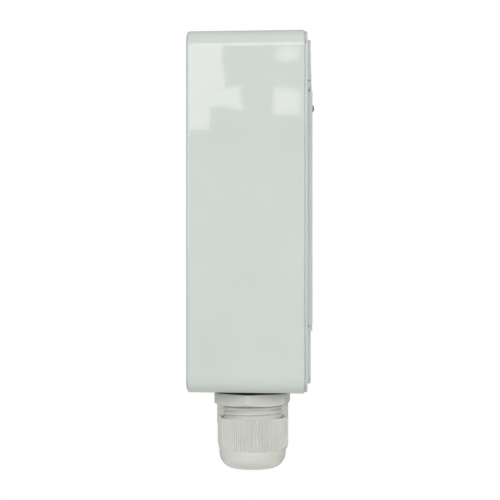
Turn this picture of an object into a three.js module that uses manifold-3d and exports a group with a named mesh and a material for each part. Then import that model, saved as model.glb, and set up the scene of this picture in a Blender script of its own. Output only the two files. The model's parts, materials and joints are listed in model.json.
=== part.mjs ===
// A wall-mounted DC combiner box for two fused inputs and one output, with three cable glands below.
//
// X runs to the right as one faces the front, Z runs up, and the wall is the plane Y = 0. The origin is the
// middle of the back face. "Depth" always means the distance from the wall, so a depth d lies at y = -d.
import * as THREE from "three";
import { mergeVertices } from "three/addons/utils/BufferGeometryUtils.js";
import Module from "manifold-3d";

const wasm = await Module();
wasm.setup();

// ---------------------------------------------------------------- Driving dimensions, in millimetres

const BOX_WIDTH = 145; // outside of the base at its open rim
const BOX_HEIGHT = 175;
const BOX_DEPTH = 56.5; // from the wall to the rim
const WALL = 2.5;
const DRAFT_DEGREES = 0.65; // the base narrows towards the wall by this angle on every side
const CORNER_RADIUS = 8;
const BACK_EDGE_RADIUS = 1.8;
const FIT = 0.15; // play on every side between two pieces that fit together
const HOLE_PLAY = 0.3; // play between a fastener and the hole it passes through
const BEYOND = 2; // how far a cutting tool runs past the surface it cuts

const RIM_LIP = 1.1; // outer part of the rim, which hides the gasket
const GASKET_DEPTH = 2.2;
const GASKET_SQUEEZE = 0.35; // how far the gasket stands above the rim
const GASKET_LIP_INSET = 0.9; // from the outside of the rim to the thin lip that covers it

const COVER_INSET = 0.75; // the cover's edge stands inside the rim by this much
const COVER_GAP = 0.4; // shadow gap between the rim and the cover
const FLANGE_THICKNESS = 1.15;
const PLATE_BACKING = 0.5; // the cover is thicker than its flange by this much
const LOCATING_RIB = 1.4; // rib behind the cover that centres it in the base
const LOCATING_RIB_DEPTH = 3.4;
const PANEL_INSET = 4.7; // raised panel on the cover
const PANEL_RAISE = 1.6;
const PANEL_RADIUS = 5;
const PLATFORM_RAISE = 0.75; // the lower platform that the flap lies on
const RAMP_LENGTH = 16; // finger ramp above the flap
const RAMP_RAISE = 0.45;
const SIDE_NOTCH = 1.25; // relief beside the flap's ends
const SIDE_NOTCH_LENGTH = 5.5;
const WINDOW_MARGIN_X = 22; // from the side of the box to the window under the flap
const WINDOW_MARGIN_Z = 14; // from the flap's end to the window
const WINDOW_RADIUS = 4;

const FLAP_MARGIN = 29.9; // from the end of the box to the end of the flap
const FLAP_THICKNESS = 1.5;
const FLAP_GAP = 0.2;
const FLAP_SKIRT = 0.9; // thickness of the turned-in edge down each side of the flap
const HINGE_BARREL_RADIUS = 1.3;
const HINGE_PLAY = 0.35;
const HINGE_EAR_WIDTH = 7;
const HINGE_PIN_RADIUS = 0.6;
const HINGE_PIN_LENGTH = 9.5;
const FLAP_SCREW_FROM_END = 6;
const FLAP_SCREW_X = 42;
const FLAP_SCREW_RADIUS = 1.5;
const FLAP_SCREW_LENGTH = 6.5;
const FLAP_SCREW_HEAD_RADIUS = 2.6;
const FLAP_SCREW_HEAD_HEIGHT = 1.8;

const COVER_SCREW_INSET = 12; // from the side and from the end of the box
const COVER_SCREW_RADIUS = 1.95;
const COVER_SCREW_LENGTH = 18;
const COVER_SCREW_HEAD_RADIUS = 3.6;
const COVER_SCREW_HEAD_HEIGHT = 2.6;
const SCREW_WELL_DEPTH = 5.2; // from the panel's face to the seat of the screw's head
const SCREW_WELL_WALL = 1.25;
const PLUG_THICKNESS = 2.2;
const WELL_SIDES = 16; // facets round each screw well and its plug
const BOSS_RADIUS = 4.25;
const WEB_THICKNESS = 2;
const WALL_HOLE_RADIUS = 2.6; // fixing holes through the back
const WALL_HOLE_X = 50;
const WALL_HOLE_INSET = 9.5;

const GLAND_DEPTH = 31.8; // distance of the gland axes from the wall
const GLAND_EDGE = 30.5; // from the side of the box to the outer gland axes
const GLAND_THREAD_RADIUS = 14.1; // through the wall of the box
const GLAND_THREAD_LENGTH = 13;
const GLAND_BODY_FLATS = 35;
const GLAND_BODY_CORNER_RADIUS = 20; // the corners are turned down to this
const GLAND_BODY_HEX_HEIGHT = 6;
const GLAND_NECK_RADIUS = 14.5; // over the threads that the cap nut runs on
const GLAND_NECK_LENGTH = 14.3;
const GLAND_NECK_CHAMFER = 0.8;
const GLAND_SEAT_RADIUS = 12.3; // bore that holds the seal
const GLAND_CABLE_RADIUS = 9.2;
const WASHER_RADIUS = 17.8;
const WASHER_THICKNESS = 1.1;
const LOCKNUT_FLATS = 33;
const LOCKNUT_HEIGHT = 4.6;
const SEAL_LENGTH = 25.2;
const CAP_FLATS = 33;
const CAP_HEX_HEIGHT = 15.8;
const CAP_CORNER_DROP = 3.2; // height of the turned-down corners at the dome end
const CAP_DOME_RADIUS = 16.45;
const CAP_DOME_ROUND = 8;
const CAP_HEIGHT = 25.3;
const CAP_CAVITY_DEPTH = 13;
const CAP_TRAVEL = 4.5; // from loose to tight
const CAP_TIGHT_GAP = 1.7; // between the body's hexagon and a tight cap nut

const FUSE_PITCH = 34; // from the middle of the box to each fuse
const FUSE_HOLE_SPACING = 52;
const FUSE_BLADE_TAIL = 8.3; // past each hole
const FUSE_BLADE_WIDTH = 16;
const FUSE_BLADE_THICKNESS = 2;
const FUSE_BODY_GAP = 1; // between the fuse's body and the busbar under its blade
const FUSE_BODY_WIDTH = 17;
const FUSE_BODY_THICKNESS = 10.7;
const FUSE_BASE_WIDTH = 20;
const FUSE_BASE_MARGIN = 4.7; // past each end of the fuse
const FUSE_POCKET_GAP = 1; // round the fuse's body
const BLOCK_HEIGHT = 12.7;
const NEGATIVE_BLOCK_HEIGHT = 8.7;
const NEGATIVE_BLOCK_WIDTH = 88;
const NEGATIVE_BLOCK_LENGTH = 18;
const NEGATIVE_BLOCK_GAP = 2; // below the fuse bases
const BUSBAR_THICKNESS = 3;
const BUSBAR_WIDTH = 16;
const BUSBAR_OVERHANG = 9; // past the last bolt
const BOLT_RADIUS = 4;
const BOLT_END_GAP = 1.5; // from the end of each bolt to the mounting plate
const BOLT_FLANGE_RADIUS = 8;
const BOLT_FLANGE_THICKNESS = 1.8;
const BOLT_FLATS = 13;
const BOLT_HEAD_HEIGHT = 5.3;

const PLATE_TOP_MARGIN = 13.5; // from the top of the box to the mounting plate
const PLATE_SIDE_MARGIN = 17.5;
const PLATE_TAIL = 5; // below the negative block
const PLATE_EDGE_MARGIN = 3; // from the plate's edge to the blocks on it
const PLATE_THICKNESS = 3;
const PLATE_STANDOFF = 5.7; // height of the moulded bosses under the plate
const PLATE_SCREW_INSET = 5;
const PLATE_SCREW_RADIUS = 1.8;
const PLATE_SCREW_LENGTH = 7.3;
const PLATE_SCREW_HEAD_RADIUS = 3.5;
const PLATE_SCREW_HEAD_HEIGHT = 2.4;

const GUARD_HEIGHT = 31.7; // above the mounting plate
const GUARD_THICKNESS = 1.5;
const GUARD_INSET = 3; // inside the edge of the mounting plate
const GUARD_POST_X = 17;
const GUARD_POST_RADIUS = 3.2;
const GUARD_STUD_RADIUS = 2;
const GUARD_STUD_LENGTH = 5;
const THUMB_NUT_RADIUS = 5.5;
const THUMB_NUT_HEIGHT = 3.4;

// ---------------------------------------------------------------- Sizes that follow from them

const halfWidth = BOX_WIDTH / 2;
const halfHeight = BOX_HEIGHT / 2;
const flangeBack = BOX_DEPTH + COVER_GAP;
const flangeFront = flangeBack + FLANGE_THICKNESS;
const coverInside = flangeBack - PLATE_BACKING;
const panelFront = flangeFront + PANEL_RAISE;
const platformFront = flangeFront + PLATFORM_RAISE;
const panelHalfWidth = halfWidth - PANEL_INSET;
const panelHalfHeight = halfHeight - PANEL_INSET;
const flapBack = platformFront + FLAP_GAP;
const flapFront = flapBack + FLAP_THICKNESS;
const flapHalfHeight = halfHeight - FLAP_MARGIN;
const hingeDepth = flapFront - HINGE_BARREL_RADIUS;
const hingeZ = -flapHalfHeight + HINGE_BARREL_RADIUS;
const barrelHalfLength = panelHalfWidth - HINGE_EAR_WIDTH - HINGE_PLAY;
const pinReach = barrelHalfLength + HINGE_PLAY + HINGE_PIN_LENGTH / 2;
const flapScrewZ = flapHalfHeight - FLAP_SCREW_FROM_END;
const screwX = halfWidth - COVER_SCREW_INSET;
const screwZ = halfHeight - COVER_SCREW_INSET;
const screwSeat = panelFront - SCREW_WELL_DEPTH;
const wellBottom = screwSeat - SCREW_WELL_WALL;
const wellRadius = COVER_SCREW_HEAD_RADIUS + HOLE_PLAY;
const glandPitch = halfWidth - GLAND_EDGE;
const draftSlope = Math.tan(THREE.MathUtils.degToRad(DRAFT_DEGREES));
const draftInset = (depth) => (BOX_DEPTH - depth) * draftSlope;
const locknutReach = LOCKNUT_FLATS / Math.sqrt(3);
const locknutBottom = WALL - halfHeight + draftInset(GLAND_DEPTH - locknutReach) + FIT;
const washerTop = -halfHeight - FIT / 3; // it meets the lowest part of the sloping underside
const glandSeatZ = washerTop - WASHER_THICKNESS - FIT / 3;
const capReach = GLAND_BODY_HEX_HEIGHT + CAP_TIGHT_GAP; // from the gland's seat to the top of a tight cap nut
const plateTop = halfHeight - PLATE_TOP_MARGIN;
const plateHalfWidth = halfWidth - PLATE_SIDE_MARGIN;
const plateBack = WALL + PLATE_STANDOFF;
const plateFront = plateBack + PLATE_THICKNESS;
const fuseLength = FUSE_HOLE_SPACING + 2 * FUSE_BLADE_TAIL;
const fuseBodyLength = FUSE_HOLE_SPACING - BUSBAR_WIDTH - 2 * FUSE_BODY_GAP;
const fuseBaseLength = fuseLength + 2 * FUSE_BASE_MARGIN;
const fuseZ = plateTop - PLATE_EDGE_MARGIN - fuseBaseLength / 2;
const upperBoltZ = fuseZ + FUSE_HOLE_SPACING / 2;
const lowerBoltZ = fuseZ - FUSE_HOLE_SPACING / 2;
const negativeZ = fuseZ - fuseBaseLength / 2 - NEGATIVE_BLOCK_GAP - NEGATIVE_BLOCK_LENGTH / 2;
const plateLength = plateTop - negativeZ + NEGATIVE_BLOCK_LENGTH / 2 + PLATE_TAIL;
const blockBack = plateFront + FIT;
const blockFront = blockBack + BLOCK_HEIGHT;
const positiveBarBack = blockFront + FIT;
const bladeBack = positiveBarBack + BUSBAR_THICKNESS + FIT;
const negativeBarBack = blockBack + NEGATIVE_BLOCK_HEIGHT + FIT;
const guardBack = plateFront + GUARD_HEIGHT;
const corners = [
  [-1, 1],
  [1, 1],
  [-1, -1],
  [1, -1],
];
const sides = { left: -1, right: 1 };

// ---------------------------------------------------------------- Solids

// A closed three.js geometry as a solid that can be joined and cut.
function toSolid(geometry) {
  const bare = geometry.clone();
  bare.deleteAttribute("normal");
  bare.deleteAttribute("uv");
  const merged = mergeVertices(bare, 1e-4);
  const faces = [];
  for (let i = 0; i < merged.index.count; i += 3) {
    const [a, b, c] = [0, 1, 2].map((k) => merged.index.getX(i + k));
    if (a !== b && b !== c && c !== a) faces.push(a, b, c);
  }
  const vertProperties = new Float32Array(merged.attributes.position.array);
  const triVerts = new Uint32Array(faces);
  return new wasm.Manifold(new wasm.Mesh({ numProp: 3, vertProperties, triVerts }));
}

function toGeometry(solid) {
  const { vertProperties, triVerts } = solid.getMesh();
  const geometry = new THREE.BufferGeometry();
  geometry.setAttribute("position", new THREE.BufferAttribute(vertProperties, 3));
  geometry.setIndex(new THREE.BufferAttribute(triVerts, 1));
  geometry.computeVertexNormals();
  return geometry;
}

// A box between two values of x, of depth and of z.
function block([x0, x1], [d0, d1], [z0, z1]) {
  const geometry = new THREE.BoxGeometry(x1 - x0, d1 - d0, z1 - z0);
  geometry.translate((x0 + x1) / 2, -(d0 + d1) / 2, (z0 + z1) / 2);
  return toSolid(geometry);
}

// A cylinder that points away from the wall.
function post(radius, [d0, d1], x = 0, z = 0, segments = 12) {
  const geometry = new THREE.CylinderGeometry(radius, radius, d1 - d0, segments);
  geometry.translate(x, -(d0 + d1) / 2, z);
  return toSolid(geometry);
}

// An upright cylinder.
function drum(radius, [z0, z1], x = 0, depth = 0, segments = 24) {
  const geometry = new THREE.CylinderGeometry(radius, radius, z1 - z0, segments);
  geometry.rotateX(Math.PI / 2);
  geometry.translate(x, -depth, (z0 + z1) / 2);
  return toSolid(geometry);
}

// A level cylinder along X.
function rod(radius, [x0, x1], depth, z, segments = 12) {
  const geometry = new THREE.CylinderGeometry(radius, radius, x1 - x0, segments);
  geometry.rotateZ(Math.PI / 2);
  geometry.translate((x0 + x1) / 2, -depth, z);
  return toSolid(geometry);
}

// An upright hexagonal bar with a corner on the X axis.
function hexBar(flats, [z0, z1]) {
  const geometry = new THREE.CylinderGeometry(flats / Math.sqrt(3), flats / Math.sqrt(3), z1 - z0, 6);
  geometry.rotateX(Math.PI / 2);
  geometry.rotateZ(Math.PI / 6);
  geometry.translate(0, 0, (z0 + z1) / 2);
  return toSolid(geometry);
}

// A turned solid about the Z axis, from [radius, z] points that run up the outside.
function turned(profile, segments = 24) {
  const geometry = new THREE.LatheGeometry(
    profile.map(([radius, z]) => new THREE.Vector2(radius, z)),
    segments,
  );
  geometry.rotateX(Math.PI / 2);
  return toSolid(geometry);
}

// A turned solid whose axis points away from the wall, from [radius, depth] points.
function turnedOutwards(profile, segments = 12) {
  return turned(profile, segments).rotate([90, 0, 0]);
}

function roundedRectangle(width, height, radius) {
  const [x, y] = [width / 2 - radius, height / 2 - radius];
  const outline = new THREE.Shape();
  outline.absarc(x, y, radius, 0, Math.PI / 2);
  outline.absarc(-x, y, radius, Math.PI / 2, Math.PI);
  outline.absarc(-x, -y, radius, Math.PI, 1.5 * Math.PI);
  outline.absarc(x, -y, radius, 1.5 * Math.PI, 2 * Math.PI);
  outline.closePath();
  return outline;
}

// A rounded rectangle drawn on the wall and extruded away from it. insetAt(depth) pulls its sides in.
function slab(width, height, radius, [d0, d1], insetAt = () => 0, steps = 1) {
  const outline = roundedRectangle(width, height, radius);
  const geometry = new THREE.ExtrudeGeometry(outline, {
    depth: d1 - d0,
    steps,
    bevelEnabled: false,
    curveSegments: 5,
  });
  geometry.rotateX(Math.PI / 2);
  geometry.translate(0, -d0, 0);
  const points = geometry.attributes.position;
  for (let i = 0; i < points.count; i++) {
    const inset = insetAt(-points.getY(i));
    points.setX(i, points.getX(i) * (1 - (2 * inset) / width));
    points.setZ(i, points.getZ(i) * (1 - (2 * inset) / height));
  }
  return toSolid(geometry);
}

// A profile of [z, depth] points, extruded along X.
function prism(profile, [x0, x1]) {
  const outline = new THREE.Shape(profile.map(([z, depth]) => new THREE.Vector2(z, depth)));
  const geometry = new THREE.ExtrudeGeometry(outline, { depth: x1 - x0, bevelEnabled: false });
  const up = new THREE.Vector3(0, 0, 1);
  const outwards = new THREE.Vector3(0, -1, 0);
  const right = new THREE.Vector3(1, 0, 0);
  geometry.applyMatrix4(new THREE.Matrix4().makeBasis(up, outwards, right));
  geometry.translate(x0, 0, 0);
  return toSolid(geometry);
}

// The stretch between two distances from the middle plane, on one side of it, lowest x first.
const span = (side, near, far) => [side * near, side * far].sort((a, b) => a - b);

const join = (first, ...others) => others.reduce((made, next) => made.add(next), first);
const cut = (first, ...others) => others.reduce((made, next) => made.subtract(next), first);

// ---------------------------------------------------------------- Materials

function finish(color, roughness, metalness = 0, extra = {}) {
  return () => new THREE.MeshStandardMaterial({ color, roughness, metalness, ...extra });
}

const greyAbs = finish(0xd3d8d4, 0.2);
const greyPolyamide = finish(0xd2d5cd, 0.35);
const greySilicone = finish(0xa8aca8, 0.7);
const blackRubber = finish(0x20211f, 0.8);
const darkSteel = finish(0x74746f, 0.4, 0.9);
const zincSteel = finish(0xc2c4c2, 0.35, 0.9);
const tinnedCopper = finish(0xc9c6be, 0.35, 0.9);
const copper = finish(0xb87352, 0.35, 0.9);
const blackPhenolic = finish(0x262725, 0.5);
const redPhenolic = finish(0x9c2a22, 0.5);
const backingBoard = finish(0xb9b9b0, 0.6);
const brass = finish(0xbfa15a, 0.35, 0.9);
const clearPolycarbonate = finish(0xf2f6f7, 0.1, 0, { transparent: true, opacity: 0.3 });
const fusePlastic = finish(0xd8b33a, 0.4);

// ---------------------------------------------------------------- Enclosure

// The rounded edge round the back, as an extra inset on top of the draft.
function backEdgeInset(depth) {
  const fromEdge = THREE.MathUtils.clamp(BACK_EDGE_RADIUS - depth, 0, BACK_EDGE_RADIUS);
  return draftInset(depth) + BACK_EDGE_RADIUS - Math.sqrt(BACK_EDGE_RADIUS ** 2 - fromEdge ** 2);
}

// A drafted block that follows the outside of the base, set in by the given amount.
function baseCore(inset, depths) {
  const [width, height] = [BOX_WIDTH - 2 * inset, BOX_HEIGHT - 2 * inset];
  return slab(width, height, CORNER_RADIUS - inset, depths, draftInset);
}

function baseShell() {
  const outside = join(
    slab(BOX_WIDTH, BOX_HEIGHT, CORNER_RADIUS, [0, BACK_EDGE_RADIUS], backEdgeInset, 3),
    baseCore(0, [BACK_EDGE_RADIUS, BOX_DEPTH]),
  );
  const gasketSeat = BOX_DEPTH + GASKET_SQUEEZE - GASKET_DEPTH;
  let shell = cut(
    outside,
    baseCore(WALL, [WALL, BOX_DEPTH + BEYOND]),
    baseCore(RIM_LIP, [gasketSeat, BOX_DEPTH + BEYOND]),
  );
  const bossTop = wellBottom - COVER_GAP;
  const screwTip = screwSeat - COVER_SCREW_LENGTH - BEYOND;
  for (const [sx, sz] of corners) {
    const webHeight = [sz * screwZ - WEB_THICKNESS / 2, sz * screwZ + WEB_THICKNESS / 2];
    const webDepth = [WALL / 2, bossTop - BOSS_RADIUS];
    const web = block(span(sx, screwX, halfWidth - WALL / 2), webDepth, webHeight).intersect(outside);
    const boss = post(BOSS_RADIUS, [WALL / 2, bossTop], sx * screwX, sz * screwZ);
    const hole = post(COVER_SCREW_RADIUS + HOLE_PLAY, [screwTip, bossTop + BEYOND], sx * screwX, sz * screwZ);
    shell = cut(join(shell, boss, web), hole);
  }
  for (const [x, z] of plateScrewPlaces()) {
    const standoff = post(BOSS_RADIUS - FIT, [WALL / 2, plateBack - FIT], x, z);
    const pilotHole = post(PLATE_SCREW_RADIUS + HOLE_PLAY, [WALL, plateBack + BEYOND], x, z);
    shell = cut(join(shell, standoff), pilotHole);
  }
  for (const [sx, sz] of corners) {
    const [x, z] = [sx * WALL_HOLE_X, sz * (halfHeight - WALL_HOLE_INSET)];
    const collar = post(WALL_HOLE_RADIUS * 2, [WALL / 2, WALL * 1.8], x, z);
    shell = cut(join(shell, collar), post(WALL_HOLE_RADIUS, [-BEYOND, 2 * WALL + BEYOND], x, z));
  }
  for (const x of [-glandPitch, 0, glandPitch]) {
    const wallBand = [-halfHeight - BEYOND, -halfHeight + 2 * WALL];
    shell = cut(shell, drum(GLAND_THREAD_RADIUS + HOLE_PLAY, wallBand, x, GLAND_DEPTH));
  }
  return shell;
}

function plateScrewPlaces() {
  const x = plateHalfWidth - PLATE_SCREW_INSET;
  const [top, bottom] = [plateTop - PLATE_SCREW_INSET, plateTop - plateLength + PLATE_SCREW_INSET];
  return [-x, x].flatMap((place) => [
    [place, top],
    [place, bottom],
  ]);
}

function coverGasket() {
  const seat = BOX_DEPTH + GASKET_SQUEEZE - GASKET_DEPTH + FIT / 2;
  const top = flangeBack - FIT / 3;
  const bead = baseCore(RIM_LIP + FIT, [seat, top]);
  const lip = baseCore(GASKET_LIP_INSET, [BOX_DEPTH + FIT / 3, top]);
  return cut(join(bead, lip), baseCore(WALL - FIT / 2, [seat - BEYOND, top + BEYOND]));
}

function cover() {
  const ribInset = WALL + HOLE_PLAY;
  const [ribWidth, ribHeight] = [BOX_WIDTH - 2 * ribInset, BOX_HEIGHT - 2 * ribInset];
  const ribBack = coverInside - LOCATING_RIB_DEPTH;
  const ribRadius = CORNER_RADIUS - ribInset;
  const [coverWidth, coverHeight] = [BOX_WIDTH - 2 * COVER_INSET, BOX_HEIGHT - 2 * COVER_INSET];
  let plate = join(
    slab(coverWidth, coverHeight, CORNER_RADIUS - COVER_INSET, [flangeBack, flangeFront]),
    slab(ribWidth, ribHeight, ribRadius, [ribBack, flangeFront]),
    slab(2 * panelHalfWidth, 2 * panelHalfHeight, PANEL_RADIUS, [flangeBack, panelFront]),
  );
  const inner = LOCATING_RIB * 2;
  const hollow = [ribBack - BEYOND, coverInside];
  plate = cut(plate, slab(ribWidth - inner, ribHeight - inner, ribRadius - LOCATING_RIB, hollow));

  const flapTop = flapHalfHeight + HINGE_PLAY;
  const rampTop = flapTop + RAMP_LENGTH;
  const ramp = prism(
    [
      [flapTop, flangeFront],
      [rampTop, flangeFront],
      [rampTop, panelFront],
      [flapTop, panelFront + RAMP_RAISE],
    ],
    [-panelHalfWidth, panelHalfWidth],
  );
  const recess = block([-halfWidth, halfWidth], [platformFront, flapFront + BEYOND], [-flapTop, flapTop]);
  plate = cut(join(plate, ramp), recess);

  const troughEnd = barrelHalfLength + HINGE_PLAY;
  plate = cut(plate, rod(HINGE_BARREL_RADIUS + HINGE_PLAY, [-troughEnd, troughEnd], hingeDepth, hingeZ));
  for (const side of Object.values(sides)) {
    plate = cut(
      join(plate, rod(HINGE_BARREL_RADIUS, span(side, troughEnd, panelHalfWidth - FIT), hingeDepth, hingeZ)),
      rod(HINGE_PIN_RADIUS + FIT, span(side, barrelHalfLength, pinReach + HINGE_PLAY), hingeDepth, hingeZ),
    );
    const edge = span(side, panelHalfWidth - SIDE_NOTCH, halfWidth + BEYOND);
    for (const end of [-1, 1]) {
      const notch = span(end, flapHalfHeight, flapHalfHeight + SIDE_NOTCH_LENGTH);
      plate = cut(plate, block(edge, [flangeFront, flapFront + BEYOND], notch));
    }
    const platformEdge = [hingeZ + HINGE_BARREL_RADIUS, flapHalfHeight];
    plate = cut(plate, block(edge, [flangeFront, platformFront + FIT], platformEdge));
    const x = side * FLAP_SCREW_X;
    const bossBack = flapFront - FLAP_SCREW_LENGTH;
    plate = cut(
      join(plate, post(FLAP_SCREW_RADIUS * 2.5, [bossBack, platformFront], x, flapScrewZ)),
      post(FLAP_SCREW_RADIUS + HOLE_PLAY, [bossBack - BEYOND, flapFront], x, flapScrewZ),
    );
  }
  for (const [sx, sz] of corners) {
    const [x, z] = [sx * screwX, sz * screwZ];
    plate = join(plate, post(wellRadius + SCREW_WELL_WALL, [wellBottom, flangeBack], x, z, WELL_SIDES));
    plate = cut(plate, post(wellRadius, [screwSeat, panelFront + BEYOND], x, z, WELL_SIDES));
    plate = cut(plate, post(COVER_SCREW_RADIUS + HOLE_PLAY, [wellBottom - BEYOND, screwSeat + BEYOND], x, z));
  }
  const windowWidth = BOX_WIDTH - 2 * WINDOW_MARGIN_X;
  const windowHeight = 2 * (flapHalfHeight - WINDOW_MARGIN_Z);
  return cut(plate, slab(windowWidth, windowHeight, WINDOW_RADIUS, [wellBottom, flapFront]));
}

function flap() {
  const sheet = block([-panelHalfWidth, panelHalfWidth], [flapBack, flapFront], [hingeZ, flapHalfHeight]);
  const barrel = rod(HINGE_BARREL_RADIUS, [-barrelHalfLength, barrelHalfLength], hingeDepth, hingeZ);
  const earRoom = [hingeZ - HINGE_BARREL_RADIUS - BEYOND, hingeZ + HINGE_BARREL_RADIUS + HINGE_PLAY];
  let made = join(sheet, barrel);
  const skirtDepth = [flangeFront + HINGE_PLAY / 2, flapFront - FIT];
  const skirtLength = [earRoom[1] + FIT, flapHalfHeight];
  for (const side of Object.values(sides)) {
    const skirt = span(side, panelHalfWidth - FLAP_SKIRT, panelHalfWidth);
    made = join(made, block(skirt, skirtDepth, skirtLength));
    const thickness = [flapBack - BEYOND, flapFront + BEYOND];
    const hole = post(FLAP_SCREW_RADIUS + HOLE_PLAY, thickness, side * FLAP_SCREW_X, flapScrewZ);
    const boreLength = span(side, barrelHalfLength - HINGE_PIN_LENGTH, halfWidth);
    const bore = rod(HINGE_PIN_RADIUS + FIT, boreLength, hingeDepth, hingeZ);
    const earLength = span(side, barrelHalfLength, halfWidth + BEYOND);
    made = cut(made, block(earLength, thickness, earRoom), hole, bore);
  }
  return made;
}

// A round-headed slotted screw, with its head's seat at depth 0.
function slottedScrew() {
  const [edge, rise] = [FLAP_SCREW_HEAD_RADIUS, FLAP_SCREW_HEAD_HEIGHT];
  const sphere = (edge ** 2 + rise ** 2) / (2 * rise);
  const domePoint = (radius) => [radius, rise - sphere + Math.sqrt(sphere ** 2 - radius ** 2) + FIT / 3];
  const dome = [0.87 * edge, 0.5 * edge, 0].map(domePoint);
  const head = turnedOutwards([[0, FIT / 3], [edge, FIT / 3], ...dome]);
  const shank = post(FLAP_SCREW_RADIUS, [-FLAP_SCREW_LENGTH, FLAP_SCREW_HEAD_HEIGHT / 2]);
  const slot = block(
    [-0.35, 0.35],
    [FLAP_SCREW_HEAD_HEIGHT * 0.6, FLAP_SCREW_HEAD_HEIGHT + 1],
    [-FLAP_SCREW_HEAD_RADIUS, FLAP_SCREW_HEAD_RADIUS],
  );
  return cut(join(head, shank), slot);
}

// A pan-headed cross-recess screw, with its head's seat at depth 0.
function panScrew(radius, length, headRadius, headHeight) {
  const head = post(headRadius, [FIT / 3, headHeight]);
  const arm = headRadius * 0.55;
  const recess = [headHeight * 0.5, headHeight + BEYOND];
  return cut(
    join(head, post(radius, [-length, headHeight / 2])),
    block([-arm, arm], recess, [-0.4, 0.4]),
    block([-0.4, 0.4], recess, [-arm, arm]),
  );
}

// ---------------------------------------------------------------- Cable glands, hanging down the Z axis

const HEX_CHAMFER = 1.2;

function glandBody() {
  const flatsRadius = GLAND_BODY_FLATS / 2;
  const hexBottom = -GLAND_BODY_HEX_HEIGHT;
  const neckBottom = hexBottom - GLAND_NECK_LENGTH;
  const hexagon = hexBar(GLAND_BODY_FLATS, [hexBottom, 0]).intersect(
    turned([
      [0, hexBottom],
      [flatsRadius - HEX_CHAMFER / 2, hexBottom],
      [GLAND_BODY_CORNER_RADIUS, hexBottom + HEX_CHAMFER],
      [GLAND_BODY_CORNER_RADIUS, 0],
      [0, 0],
    ]),
  );
  const spigot = drum(GLAND_THREAD_RADIUS, [-1, GLAND_THREAD_LENGTH]);
  const neck = turned([
    [0, neckBottom],
    [GLAND_NECK_RADIUS - GLAND_NECK_CHAMFER, neckBottom],
    [GLAND_NECK_RADIUS, neckBottom + GLAND_NECK_CHAMFER],
    [GLAND_NECK_RADIUS, hexBottom + 1],
    [0, hexBottom + 1],
  ]);
  const sealRoom = drum(GLAND_SEAT_RADIUS, [neckBottom - BEYOND, 2]);
  const cableRoom = drum(GLAND_CABLE_RADIUS + 2 * HOLE_PLAY, [-BEYOND, GLAND_THREAD_LENGTH + BEYOND]);
  return cut(join(hexagon, spigot, neck), sealRoom, cableRoom);
}

function ring(outer, inner, depths) {
  const [z0, z1] = depths;
  return cut(outer, drum(inner, [z0 - BEYOND, z1 + BEYOND]));
}

const glandWasher = () => {
  const band = [0, WASHER_THICKNESS];
  return ring(drum(WASHER_RADIUS, band), GLAND_THREAD_RADIUS + FIT, band);
};

const glandLocknut = () => {
  const band = [0, LOCKNUT_HEIGHT];
  return ring(hexBar(LOCKNUT_FLATS, band), GLAND_THREAD_RADIUS + FIT, band);
};

const glandSeal = () => {
  const band = [-SEAL_LENGTH, 0];
  return ring(drum(GLAND_SEAT_RADIUS - HOLE_PLAY, band), GLAND_CABLE_RADIUS, band);
};

// The cap nut, with its top face at z = 0 and its domed end below.
function capNut() {
  const cornerRadius = CAP_FLATS / Math.sqrt(3);
  const domeCentre = -CAP_HEIGHT + CAP_DOME_ROUND;
  const dome = [];
  for (let step = 0; step <= 5; step++) {
    const angle = (step * Math.PI) / 10;
    const radius = CAP_DOME_RADIUS - CAP_DOME_ROUND + CAP_DOME_ROUND * Math.sin(angle);
    dome.push([radius, domeCentre - CAP_DOME_ROUND * Math.cos(angle)]);
  }
  const outside = turned([
    [0, -CAP_HEIGHT],
    ...dome,
    [CAP_DOME_RADIUS, -CAP_HEX_HEIGHT],
    [cornerRadius, -CAP_HEX_HEIGHT + CAP_CORNER_DROP],
    [cornerRadius, 0],
    [0, 0],
  ]);
  const domeOnly = drum(CAP_DOME_RADIUS, [-CAP_HEIGHT, -CAP_HEX_HEIGHT / 2]);
  const hexagon = hexBar(CAP_FLATS, [-CAP_HEX_HEIGHT - FIT, 0]);
  const cavityRadius = GLAND_NECK_RADIUS + HOLE_PLAY;
  const cavity = turned([
    [0, -CAP_HEIGHT - BEYOND],
    [GLAND_CABLE_RADIUS, -CAP_HEIGHT - BEYOND],
    [GLAND_CABLE_RADIUS, -CAP_HEIGHT + CAP_DOME_ROUND / 2],
    [cavityRadius, -CAP_CAVITY_DEPTH],
    [cavityRadius, BEYOND],
    [0, BEYOND],
  ]);
  return cut(outside.intersect(join(domeOnly, hexagon)), cavity);
}

// ---------------------------------------------------------------- Inside

const boltHole = (x, z) => post(BOLT_RADIUS + HOLE_PLAY, [0, BOX_DEPTH], x, z);

function mountingPlate() {
  const middle = plateTop - plateLength / 2;
  const sheet = slab(2 * plateHalfWidth, plateLength, 3, [plateBack, plateFront]).translate([0, 0, middle]);
  const hole = ([x, z]) => post(PLATE_SCREW_RADIUS + HOLE_PLAY, [0, BOX_DEPTH], x, z);
  return cut(sheet, ...plateScrewPlaces().map(hole));
}

// The stretch of z, or of x, of a given length about a middle.
const about = (middle, length) => [middle - length / 2, middle + length / 2];

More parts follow.
